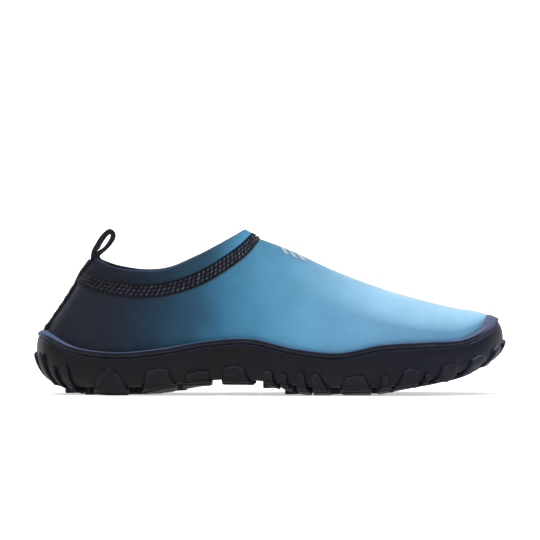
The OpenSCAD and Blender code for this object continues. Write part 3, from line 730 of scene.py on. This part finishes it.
def lug(c, hw, t, tp, sl, pk, stand=2.2):
    """One side lug: its face follows the sidewall at a distance. Its top is rounded, its foot bevelled."""
    w = 10.3 if c < 2 or c > 24 else 11.3 if abs(c - 13) < 2 else 14.7
    s = np.array([-1, -0.985, -0.95, -0.9, -0.85, -0.79, -0.7, -0.55, -0.35, -0.15, 0])
    s = np.concatenate([s, -s[:-1][::-1]])
    a = np.abs(s)
    e = 1 - 0.25 * ease(a, 0.72, 0.84) - 0.95 * ease(a, 0.83, 1.0) ** 1.5
    th = t * (1 - pk * a) * (1 - 0.06 * ease(a, 0.85, 1))
    ue = c + s * hw

    def row(q, f):
        """q: place on the wall, from its foot to the top of the lug. f: share of the full stand-out."""
        uu = c + s * hw * (1 - tp * q) + sl * q
        d, z = wall(uu, th * q)
        return at(uu, d + stand * e * f - 0.25 * (1 - f), z)

    d0, z0 = wall(ue, 0)
    zn = np.minimum(z0, zb(xat(ue, d0 - w)))
    foot_o = np.minimum(zo(xat(ue, d0)), z0 - 0.5)
    foot_i = np.minimum(zl(xat(ue, d0 - w)), zn - 0.5)
    foot_o = np.where(a > 0.99, z0 + 0.43, foot_o + 0.35 * ease(a, 0.86, 0.99))
    foot_i = np.where(a > 0.99, zn + 0.43, foot_i + 0.35 * ease(a, 0.86, 0.99))
    dt, zt = wall(c + s * hw * (1 - tp) + sl, th)
    rows = [at(ue, d0 - 1.2, z0 + 1.3), at(c + s * hw * (1 - tp) + sl, dt - 2.2, zt - 0.4)]
    rows += [row(1.0, 0.0), row(0.985, 0.35), row(0.965, 0.7), row(0.94, 0.9), row(0.9, 1.0)]
    rows += [row(q, 1.0) for q in (0.8, 0.68, 0.55, 0.42, 0.3)]
    dd, zd = wall(ue, 0.14)
    drop = 1.2 if kof(c) < 2.5 or kof(c) > 10.5 else 3
    reach = d0 + stand * e * 0.7
    foot = [(dd + stand * e, np.maximum(foot_o + 1.6, zd - drop))]
    foot += [(reach + out, foot_o + rise) for out, rise in ((0.05, 0.9), (-0.1, 0.35), (-0.5, 0.06))]
    foot.append((reach - 1.1, foot_o + (foot_i - foot_o) * 0.05))
    foot += [(reach * (1 - k) + (d0 - w) * k, foot_o * (1 - k) + foot_i * k) for k in (0.3, 0.6, 0.85)]
    foot += [(d0 - w + 0.5, foot_i + 0.04), (d0 - w + 0.05, foot_i + 0.5), (d0 - w, zn + 1.3)]
    rows += [at(ue, d, z) for d, z in foot]
    p = np.stack(rows, 1)
    return p, tube(*p.shape[:2])


def side_lugs():
    parts = []
    for i, (c, hw, t, tp, sl, pk) in enumerate(LUGS):
        parts.append(lug(c, hw, t, tp, sl, pk))
        if i > 1:
            parts.append(lug(RING - c, hw, t, tp, -sl, pk))
    return merged(parts)


CHEVRONS = [
    [-112, 9, 8, -1.5], [-97, 15, 11, -1.5], [-82, 17, 11, -1.5], [-67, 17, 11, -1.5], [-52, 15, 8, -1.5],
    [-38, 14, 7, -1.5], [-20, 14, 6, -1.5], [6, 19, 8, -1], [23, 22, 12, -0.5], [40, 24, 12, 0],
    [57, 24, 12, 0],
    [71, 22, 10, 0.5], [85, 17, 9, 1.5], [104, 9, 8, 2.5],
]


def tread_bars():
    parts = []
    for x, spread, sweep, mid in CHEVRONS:
        foot = float(zl(np.array(x - sweep * 0.4)))
        top = min(float(zb(np.array(float(x)))), float(zb(np.array(float(x - sweep))))) + 1.63
        for s in (-1, 1):
            a = np.array([x - 0.13, mid + s * 3.71])
            b = np.array([x - sweep + 0.09, mid + s * (spread + 0.07)])
            t = (b - a) / np.linalg.norm(b - a)
            nrm = np.array([-t[1], t[0]])
            rows = []
            levels = ((foot + 0.95, 2.57), (foot + 0.45, 2.5), (foot + 0.12, 2.25), (foot, 1.85))
            for z, r in ((top, 2.57), *levels):
                ring = []
                for end, base in ((b, 0.0), (a, np.pi)):
                    for q in np.linspace(-np.pi / 2, np.pi / 2, 9):
                        d = t * math.cos(q + base) + nrm * math.sin(q + base)
                        ring.append([*(end + d * r), z])
                rows.append(ring)
            p = np.array(rows)
            parts.append((p, tube(*p.shape[:2])))
    return merged(parts)


for name, make, sharp in (
    ("outsole_tray", outsole_base, 55),
    ("outsole_side_lugs", side_lugs, 48),
    ("outsole_tread_bars", tread_bars, 48),
):
    p, f = make()
    piece(name, p, f, RUBBER, ["outsole"], sharp=sharp)


# ---- upper
def seam_pull(u, v):
    """How far the skin dips towards the flatlock seam, and the small puckers that the stitches make."""
    k = kof(u)
    near = ease(v, 0.80, 0.97) * (1 - ease(k, 6.9, 7.3))
    band = 0.10 * ease(v, 0.62, 0.86) * (1 - ease(v, 0.93, 1.0)) * (1 - ease(k, 6.4, 7.2))
    ripple = np.sin(u * 26.0) * band
    slack = 0.28 * np.sin(u * 2.1 + 3.0 * v) * np.sin(v * 5.2 + 0.7) * np.sin(np.pi * np.clip(v, 0, 1))
    return -0.12 * near + ripple + slack * (1 - ease(k, 9.5, 12.0))


def eased(base, u, v):
    """Takes the crease out where the rows that end on the collar meet those that end on the ridge."""
    reach = 18
    w = np.exp(-((np.arange(-reach, reach + 1) / 8.0) ** 2))
    w /= w.sum()
    soft = np.zeros_like(base)
    for i, share in zip(range(-reach, reach + 1), w):
        soft += share * np.roll(base, i, axis=0)
    k = kof(u)
    much = ease(k, 5.6, 6.6) * (1 - ease(k, 8.2, 9.4)) * math.sin(math.pi * v) ** 0.6 * (v < 0.98)
    return base * (1 - much[:, None]) + soft * much[:, None]


def make_upper():
    n, rows = 416, 46
    u = np.arange(n) * RING / n
    v = np.linspace(0, 1, rows)
    half, h7 = n // 2, round(n * 7 / RING)
    outer, inner = [], []
    s = -closed(DM, u) - 0.1
    low = at(u, s, zm(xat(u, s)) + 0.1)
    outer.append(low)
    inner.append(low - rimn(u) * SHEET)
    for vj in v:
        vv = np.full(n, vj)
        fade = math.sin(math.pi * vj)
        base, nrm = eased(up(u, vv), u, vj), un(u, vv)
        outer.append(base + nrm * (seam_pull(u, vv) * min(1.0, fade * 4))[:, None])
        inner.append(base - nrm * SHEET)
    m = rows + 1
    o, i = np.array(outer), np.array(inner)
    pts = np.concatenate([o.reshape(-1, 3), i.reshape(-1, 3)])

    def pid(j, k):
        k %= n
        return j * n + (n - k if j == m - 1 and k > half and n - k > h7 else k)

    faces, index = [], []
    for z, flip in ((0, True), (m * n, False)):
        for j in range(m - 1):
            for k in range(n):
                q = [pid(j, k), pid(j, k + 1), pid(j + 1, k + 1), pid(j + 1, k)]
                q = [a for b, a in enumerate(q) if a not in q[:b]]
                if len(q) > 2:
                    q = [a + z for a in (q if flip else q[::-1])]
                    faces.append(q)
                    index.append(0 if flip else 1)
    for k in range(n):
        a, b = k, (k + 1) % n
        faces.append([a, m * n + a, m * n + b, b])
        index.append(0)
        if k < h7 or k >= n - h7:
            a, b = pid(m - 1, k), pid(m - 1, k + 1)
            faces.append([a, b, m * n + b, m * n + a])
            index.append(0)
    used = np.zeros(len(pts), bool)
    used[np.unique(np.concatenate([np.array(q) for q in faces]))] = True
    new = np.cumsum(used) - 1
    return pts[used], [[int(new[a]) for a in q] for q in faces], index


p, f, ix = make_upper()
upper = piece("upper_neoprene", p, f, [UPPER, INSIDE], ["upper"], index=ix)


# ---- collar
def make_cuff():
    n = 448
    u = np.arange(n) * COLLAR / n
    s, w, nn, h = cuff_frame(u)
    r = FOLD_R
    secs = []

    def pt(a, d):
        a = np.asarray(a * np.ones(n))[:, None]
        d = np.asarray(d * np.ones(n))[:, None]
        return s + w * a + nn * d

    pucker = np.sin(u * 48.3) * 0.10
    wavy = 0.16 * np.sin(u * 2.9 + 0.4) + 0.1 * np.sin(u * 6.1 + 1.3)
    for q in (0.0, 0.12, 0.25, 0.38, 0.5, 0.62, 0.74, 0.86, 0.95):
        a = 0.1 + (h - r - 0.1) * q
        bulge = 0.42 * math.sin(math.pi * min(1.0, q * 0.98 + 0.02)) - 0.05
        secs.append(pt(a, bulge + pucker * math.exp(-(((q - 0.42) / 0.2) ** 2)) + wavy * q * (1 - q) * 2))
    for ang in np.linspace(0, 180, 15):
        t = math.radians(ang)
        secs.append(pt(h - r + r * math.sin(t) + wavy * 0.3 * math.sin(t), -r + r * math.cos(t)))
    for a, d in ((8.5, -4.75), (6.5, -4.75), (5, -4.6), (3.2, -4.1), (1.6, -3.3), (0.1, -2.8), (0.1, -1.4)):
        secs.append(pt(np.minimum(a, h - r - 0.3), d))
    p = np.stack(secs, 1)
    return p, lattice(n, p.shape[1], True, True)


p, f = make_cuff()
cuff = piece("collar_cuff_folded", p, f, CUFF, ["collar_cuff"])


def flatlock(outside):
    """The flatlock seam, with a stitch about every 3 mm. Outside: a bed of thread over the butted edges,
    three rows of raised stitches with thread crossing back between them, and flatter stitches along both
    borders. Inside: a bed with three rows of needle stitches and looper threads between them."""
    b = 4.2  # half the width of the seam
    dense = np.linspace(0.36, 13.64, 500)
    s = closed(SEAM, dense)
    run = arc(s)
    total = run[-1]

    def place(dist, c, d):
        u = np.interp(dist, run, dense)
        s0, w, nn, _ = cuff_frame(u)
        low = down_dir(u)
        c = c * np.ones_like(u)
        if outside:
            lift = np.where(c > 0, 0.3 * np.clip(c / b, 0, 1), 0.12 * np.clip(-c / b, 0, 1)) + d
        else:
            lift = -(np.where(c > 0, 2.95 + 1.85 * ease(c, 0.0, 4.2), 2.95) + d)
        flat = s0 + np.where(c > 0, c, 0)[:, None] * w + np.where(c < 0, -c, 0)[:, None] * low
        return flat + nn * lift[:, None], nn

    parts, uvs = [], []
    # the bed
    stations = np.linspace(0, total, 520)
    cs = np.array([-1, -0.97, -0.8, -0.5, -0.2, 0, 0.2, 0.5, 0.8, 0.97, 1]) * b
    bumps = 0.04 * np.sin(stations * 2.1)
    top = np.stack([place(stations, c, (0.36 if abs(c) < b * 0.95 else 0.2) + bumps)[0] for c in cs], 1)
    bottom = np.stack([place(stations, c, 0.1)[0] for c in cs[::-1]], 1)
    bed = np.concatenate([top, bottom], 1)
    faces = tube(*bed.shape[:2])
    parts.append((bed, faces))
    across = np.concatenate([cs, cs[::-1]])[None]
    uvs.append(np.stack(np.broadcast_arrays(stations[:, None], across), -1).reshape(-1, 2))
    # the stitches
    pitch = 3.0 if outside else 3.4
    count = int(total / pitch)
    at0 = (np.arange(count) + 0.15) * total / count
    jig = rng.normal(0, 0.05, (count, 8))
    sign = 1 if outside else -1

    index = [np.zeros(len(faces), int)]

    def rows_of(c0, c1, start, stop, r, high, deep, col, mat):
        a, na = place(np.clip(at0 + start * pitch + jig[:, col], 0, total), c0, deep)
        e, ne = place(np.clip(at0 + stop * pitch + jig[:, col], 0, total), c1, deep)
        q, g, v = threads(a, e, sign * unit(na + ne) * high, r * (1 + jig[:, :1].mean()), rings=7)
        parts.append((q, g))
        uvs.append(v)
        index.append(np.full(len(g), mat))

    if outside:
        for i, c in enumerate((-2.35, -0.1, 2.1)):
            shift = 0.34 * i
            rows_of(c - 0.72, c + 0.72, -0.30 + shift, 0.26 + shift, 0.52, 0.46, 0.30, i, 2)
            rows_of(c + 0.55, c - 0.62, 0.22 + shift, 0.66 + shift, 0.30, 0.22, 0.26, i + 1, 1)
        for c, start in ((3.55, 0.0), (3.95, 0.5)):
            rows_of(c, c, start - 0.46, start + 0.50, 0.36, 0.22, 0.26, 4, 1)
        rows_of(-3.35, -3.35, -0.42, 0.42, 0.34, 0.2, 0.3, 5, 1)
        rows_of(-3.2, -4.22, -0.40, -0.02, 0.36, 0.16, 0.26, 6, 1)
        rows_of(-4.22, -3.2, -0.02, 0.36, 0.36, 0.16, 0.26, 7, 1)
    else:
        for i, c in enumerate((-2.9, 0.0, 2.9)):
            rows_of(c, c, -0.42, 0.42, 0.38, 0.22, 0.36, i, 2)
        for i, c in enumerate((-2.6, 0.3)):
            rows_of(c, c + 2.3, -0.30, 0.22, 0.38, 0.26, 0.32, i + 3, 1)
            rows_of(c, c + 2.3, 0.70, 0.26, 0.30, 0.2, 0.28, i + 5, 1)
    pts, faces = merged(parts)
    return pts, faces, np.concatenate(uvs), np.concatenate(index)


for outside, name, node_name in (
    (True, "flatlock_cover_stitches", "flatlock_cover_thread"),
    (False, "flatlock_looper_stitches", "flatlock_looper_thread"),
):
    p, f, uv, ix = flatlock(outside)
    piece(name, p, f, [BED, THREAD, KNOT_HIGHLIGHT], [node_name], uv=uv, index=ix)


# ---- heel lining
def patch(us, vs, d1, d2, relief=None):
    """A closed sheet over part of the upper, between the heights d1 and d2 over its skin."""
    uu, vv = np.meshgrid(us, vs, indexing="ij")
    shape = uu.shape
    uu, vv = uu.ravel(), vv.ravel()
    extra = 0 if relief is None else relief(uu, vv)
    a = skin(uu, vv, d2 + extra).reshape(*shape, 3)
    b = skin(uu, vv, d1 + extra).reshape(*shape, 3)
    m, n = shape
    ring = np.concatenate([a, b[:, ::-1]], 1)
    faces = lattice(m, 2 * n, False, True)
    for j in (0, m - 1):
        for i in range(n - 1):
            q = [j * 2 * n + i, j * 2 * n + i + 1, j * 2 * n + 2 * n - 2 - i, j * 2 * n + 2 * n - 1 - i]
            faces.append(q if j else q[::-1])
    return ring, faces


p, f = patch(np.linspace(-3.42, 3.42, 90), np.linspace(0.04, 0.75, 34), -4.5, -3.8,
             lambda u, v: 0.05 * np.sin(u * 9) * np.sin(v * 17))
lining = piece("heel_lining_knit", p, f, INSIDE, ["heel_lining"])


# ---- sock liner
def liner(lo, hi, inset, soft, name, mats, nodes, across=15):
    """A footbed pad of even thickness that follows the bed of the sole, with rounded edges."""
    n = 208
    u = np.arange(n) * RING / n

    def place(h, e):
        z = zm(xat(u, -closed(DM, u) - SHEET)) + h
        a, b = closed(DM, u), closed(LIP, u)
        z0, z1 = zm(xat(u, -a)), rimp(u)[:, 2]
        skirt = a + (b - a) * np.maximum(0, (z - z0) / (z1 - z0)) + SHEET + 0.25
        return at(u, -skirt - inset - e, z)

    rows = [place(lo, soft), place(lo + (hi - lo) * 0.2, soft * 0.3), place((lo + hi) / 2, 0),
            place(lo + (hi - lo) * 0.8, soft * 0.35), place(hi, soft)]
    pts = [np.concatenate(rows)]
    faces = lattice(5, n, False, True)
    base = 5 * n
    for ring, down in ((0, True), (4, False)):
        # strips across from station i to n - i, with inner points between them
        start = base
        ends = np.arange(1, n // 2)
        left, right = rows[ring][ends], rows[ring][n - ends]
        t = np.linspace(0, 1, across)[1:-1]
        mid = left[:, None] * (1 - t)[None, :, None] + right[:, None] * t[None, :, None]
        pts.append(mid.reshape(-1, 3))
        w = across - 2
        for j in range(len(ends)):
            rowp = [ring * n + ends[j]] + [start + j * w + i for i in range(w)] + [ring * n + n - ends[j]]
            if j == 0:
                prev = rowp
                tip = ring * n
                for i in range(len(rowp) - 1):
                    faces.append([tip, rowp[i], rowp[i + 1]] if down else [tip, rowp[i + 1], rowp[i]])
            else:
                for i in range(len(rowp) - 1):
                    q = [prev[i], rowp[i], rowp[i + 1], prev[i + 1]]
                    faces.append([int(a) for a in (q if down else q[::-1])])
                prev = rowp
        tip = ring * n + n // 2
        for i in range(len(prev) - 1):
            faces.append([prev[i], tip, prev[i + 1]] if down else [prev[i + 1], tip, prev[i]])
        base = start + len(ends) * w
    faces = [[int(a) for a in q] for q in faces]
    return piece(name, np.concatenate(pts), faces, mats, nodes)


foot = liner(1.4, 5.4, 0.4, 0.8, "sock_liner_foam", LINER, ["sock_liner"])
top = liner(5.52, 6.3, 0.7, 0.1, "sock_liner_cover_knit", COVER, ["sock_liner_cover"])


# ---- heel tape and its stitches
TAPE = 1.2  # thickness of the heel tape


def step_at(v, w):
    one = np.linalg.norm(up(np.full(np.shape(v), 0.3), v) - up(np.zeros(np.shape(v)), v), axis=-1)
    return w / np.maximum(1, one) * 0.3


def tape_point(q, t, d):
    """q: 0 at the rim to 1 under the loop. t: -1 to 1 across. d: the height over the neoprene."""
    q, t = np.broadcast_arrays(np.asarray(q, float), np.asarray(t, float))
    wave = 0.14 * np.sin(q * 46) * np.sin(np.pi * np.clip(q, 0, 1))
    v = 0.015 + np.minimum(q / 0.82, 1) * 0.865
    d = d * (1 + 1.1 * (1 - ease(q, 0.0, 0.15)))  # the turned-in end is thicker, and flares onto the ledge
    low = skin(step_at(v, WEB_HALF) * t, v, 0.15 + d + wave)
    low[..., 2] -= 1.7 * (1 - ease(q, 0.0, 0.08))
    a = 1 + (np.maximum(q - 0.82, 0.0) / 0.18) * 10
    s, wd, nn, _ = cuff_frame(t * WEB_HALF / 17.5)
    high = s + wd * a[..., None] + nn * (0.55 + d + wave)[..., None]
    k = ease(q, 0.79, 0.86)[..., None]
    return low * (1 - k) + high * k


def make_tape():
    q = np.linspace(0, 1, 120)
    ang = np.linspace(0, np.pi / 2, 4)
    top = [(-1 + 0.08 - 0.08 * math.cos(a), 0.35 + 0.65 * math.sin(a)) for a in ang]
    top += [(t, 1.0) for t in (-0.7, -0.45, -0.2, 0, 0.2, 0.45, 0.7)]
    top += [(1 - 0.08 + 0.08 * math.sin(a), 0.35 + 0.65 * math.cos(a)) for a in ang]
    sec = top + [(t, 0.0) for t in (1.0, 0.5, 0, -0.5, -1.0)]
    rows = [tape_point(q, np.full_like(q, t), np.full_like(q, TAPE * d)) for t, d in sec]
    p = np.stack(rows, 1)
    run = arc(p[:, 6])
    uv = np.stack(np.broadcast_arrays(run[:, None], np.array([t * WEB_HALF for t, d in sec])[None]), -1)
    return p, tube(*p.shape[:2]), uv


p, f, uv = make_tape()
piece("heel_tape_webbing", p, f, WEB, ["heel_tape"], uv=uv)

a, b, lift = [], [], []
for s in (-0.72, 0.72):
    q0 = np.linspace(0.03, 0.74, 19)
    a.append(tape_point(q0, np.full(19, s), np.full(19, TAPE)))
    b.append(tape_point(q0 + 0.028, np.full(19, s), np.full(19, TAPE)))
a, b = np.concatenate(a), np.concatenate(b)
nrm = np.tile(un(np.zeros(19), np.linspace(0.07, 0.8, 19)), (2, 1))
p, f, uv = threads(a, b, nrm * 0.3, 0.26, rings=7)
piece("heel_tape_stitches", p, f, STITCH, ["heel_tape_stitching"], uv=uv)


# ---- generic mark
parts = []
for i in range(3):
    us = 7.62 + i * 0.22 + np.linspace(0, 0.12, 14)
    parts.append(patch(us, np.linspace(0.82, 0.94, 30), 0.12, 0.3))
p, f = merged(parts)
piece("vamp_bars_transfer", p, f, FILM, ["vamp_transfer"])


# ---- pull loop and its anchor
OUTER = [
    [-105.8, 87], [-104.4, 89.8], [-102.6, 92.9], [-100.2, 95.9], [-97.8, 98], [-95.8, 98.9],
    [-93.8, 97.7], [-92.5, 95.8], [-92.5, 93.3], [-93.7, 90.8], [-95.6, 88.2], [-98, 85.8],
]
EYE = [
    [-101.9, 86.9], [-100.9, 89], [-99.3, 91.5], [-97.6, 93.8], [-96, 95.3], [-95.4, 94.9],
    [-95.8, 93.4], [-96.8, 91.4], [-98.3, 89.3], [-100.3, 87.2],
]


def resample(line, n):
    line = np.asarray(line, float)
    fine = opened(line, np.linspace(0, len(line) - 1, 400))
    run = arc(fine)
    want = np.linspace(0, run[-1], n)
    return np.stack([np.interp(want, run, fine[:, i]) for i in (0, 1)], 1)


# the two ends of the webbing run on down to the anchor through a short neck
neck = [[-104.3, 82.45], [-103.9, 84.9]]
back_o = resample([[-107.3, 81.2], [-107.2, 82.6], [-107.0, 84.2], [-106.35, 86.4]] + OUTER[1:6], 50)
front_o = resample(OUTER[5:] + [[-100.2, 83.9], [-101.6, 82.6], [-101.8, 81.5]], 54)
back_i = resample(neck + EYE[:5], 50)
front_i = resample(EYE[4:] + neck[::-1], 54)
outer, inner = np.concatenate([back_o, front_o[1:]]), np.concatenate([back_i, front_i[1:]])
p, f, uv = strap(outer, inner, WEB_HALF, 0.75, MID_Y, 9)
piece("pull_loop_webbing", p, f, WEB, ["pull_loop"], uv=uv,
      blend=([-104.2, MID_Y, 83.1], [-103.0, MID_Y, 87.0]))


def over(d, lo, li):
    """Outline over the collar's folded edge at the heel, moved out by d."""
    s, w, nn, h = (x[0] for x in cuff_frame(np.array([0.0])))
    r, bow, line = FOLD_R, 0.7, []
    for t in np.linspace(h - lo, h - r - 0.2, 6):
        line.append(s + w * t + nn * d)
    for a in np.linspace(0, 180, 22):
        c, k = math.cos(math.radians(a)), math.sin(math.radians(a))
        line.append(s + w * (h - r + (r + d) * k) + nn * (-r + (r + d) * c - bow * (1 - c) / 2))
    for t in np.linspace(h - r - 0.3, h - li, 12):
        line.append(s + w * t + nn * (-4.6 - d - bow))
    line = np.array(line)
    return line[:, [0, 2]]


outer, inner = over(0.95, 6.5, 9.5), over(-0.35, 6.5, 9.5)
p, f, uv = strap(outer, inner, WEB_HALF, 0.36, MID_Y, 9)
piece("loop_anchor_webbing", p, f, WEB, ["loop_anchor"], uv=uv)

s, w, nn, h = (x[0] for x in cuff_frame(np.array([0.0])))
a, b = [], []
for back in (4.6, 8.0):
    for k in range(16):
        y = MID_Y - 3.9 + k * 7.8 / 15
        c = s + w * (h - back) + nn * (-4.6 - 1.0 - 0.7 - 0.12)
        z = 1.1 if k % 2 else -1.1
        a.append(c + w * z + np.array([0, y - c[1], 0]))
        b.append(c - w * z + np.array([0, y + 0.5 - c[1], 0]))
p, f, uv = threads(a, b, np.tile(-nn * 0.16, (len(a), 1)), 0.27, rings=6)
piece("loop_bartack_stitches", p, f, STITCH, ["bartacks"], uv=uv)


# ---- camera, floor and light
def look(ob, target):
    d = np.array(target) - np.array(ob.location)
    ob.rotation_euler = Vector(d).to_track_quat("-Z", "Y").to_euler()


cam = new_object("camera", bpy.data.cameras.new("camera"))
far, frame_width = 6.0, 0.32103  # metres to the camera, and metres that the picture spans there
cam.data.lens = 36 * far / frame_width
cam.data.clip_start, cam.data.clip_end = 0.1, 60
tilt = math.radians(1.0)
aim = (-0.0003, 0.0, 0.0737)
cam.location = (aim[0], -far * math.cos(tilt), aim[2] + far * math.sin(tilt))
look(cam, aim)
bpy.context.scene.camera = cam

g = Graph("floor", 0.9, 0.1)
pale = g.tint(srgb(240, 241, 243), g.span(g.noise(3, 3), 0.3, 0.7, 0, 1), srgb(236, 238, 241))
g.bsdf.inputs["Emission Color"].default_value = (1, 1, 1, 1)
g.bsdf.inputs["Emission Strength"].default_value = 0.5
FLOOR = g.done(pale)
me = bpy.data.meshes.new("floor")
flat_r, wall_r = 6.6, 2.6
prof = [(0.4, 0.0), (2.0, 0.0), (flat_r, 0.0)]
for a in np.linspace(0.1, math.pi / 2, 15):
    prof.append((flat_r + wall_r * math.sin(a), wall_r - wall_r * math.cos(a)))
prof.append((flat_r + wall_r, 3.4))
turn = np.linspace(0, 2 * math.pi, 97)[:-1]
me.from_pydata(
    [(r * math.cos(t), r * math.sin(t), z - 1e-4) for r, z in prof for t in turn] + [(0, 0, -1e-4)], [],
    lattice(len(prof), 96, False, True) + [[96 * len(prof), (i + 1) % 96, i] for i in range(96)],
)
me.materials.append(FLOOR)
smooth(me)
floor = new_object("floor", me)

world = bpy.data.worlds.new("studio")
world.use_nodes = True
world.node_tree.nodes["Background"].inputs["Color"].default_value = (0.93, 0.96, 1.0, 1)
world.node_tree.nodes["Background"].inputs["Strength"].default_value = 0.36
bpy.context.scene.world = world
bpy.context.scene.view_settings.view_transform = "Standard"


def sun(name, strength, angle, direction, colour=(1, 1, 1)):
    data = bpy.data.lights.new(name, "SUN")
    data.energy, data.angle, data.color = strength, math.radians(angle), colour
    ob = new_object(name, data)
    ob.location = tuple(-3 * x for x in direction)
    look(ob, (0, 0, 0))


sun("top_softbox", 3.4, 50, (0.1, 0.25, -1.0), (1.0, 0.99, 0.97))
sun("front_fill", 0.12, 70, (-0.15, 1.0, -0.35), (0.97, 0.99, 1.0))
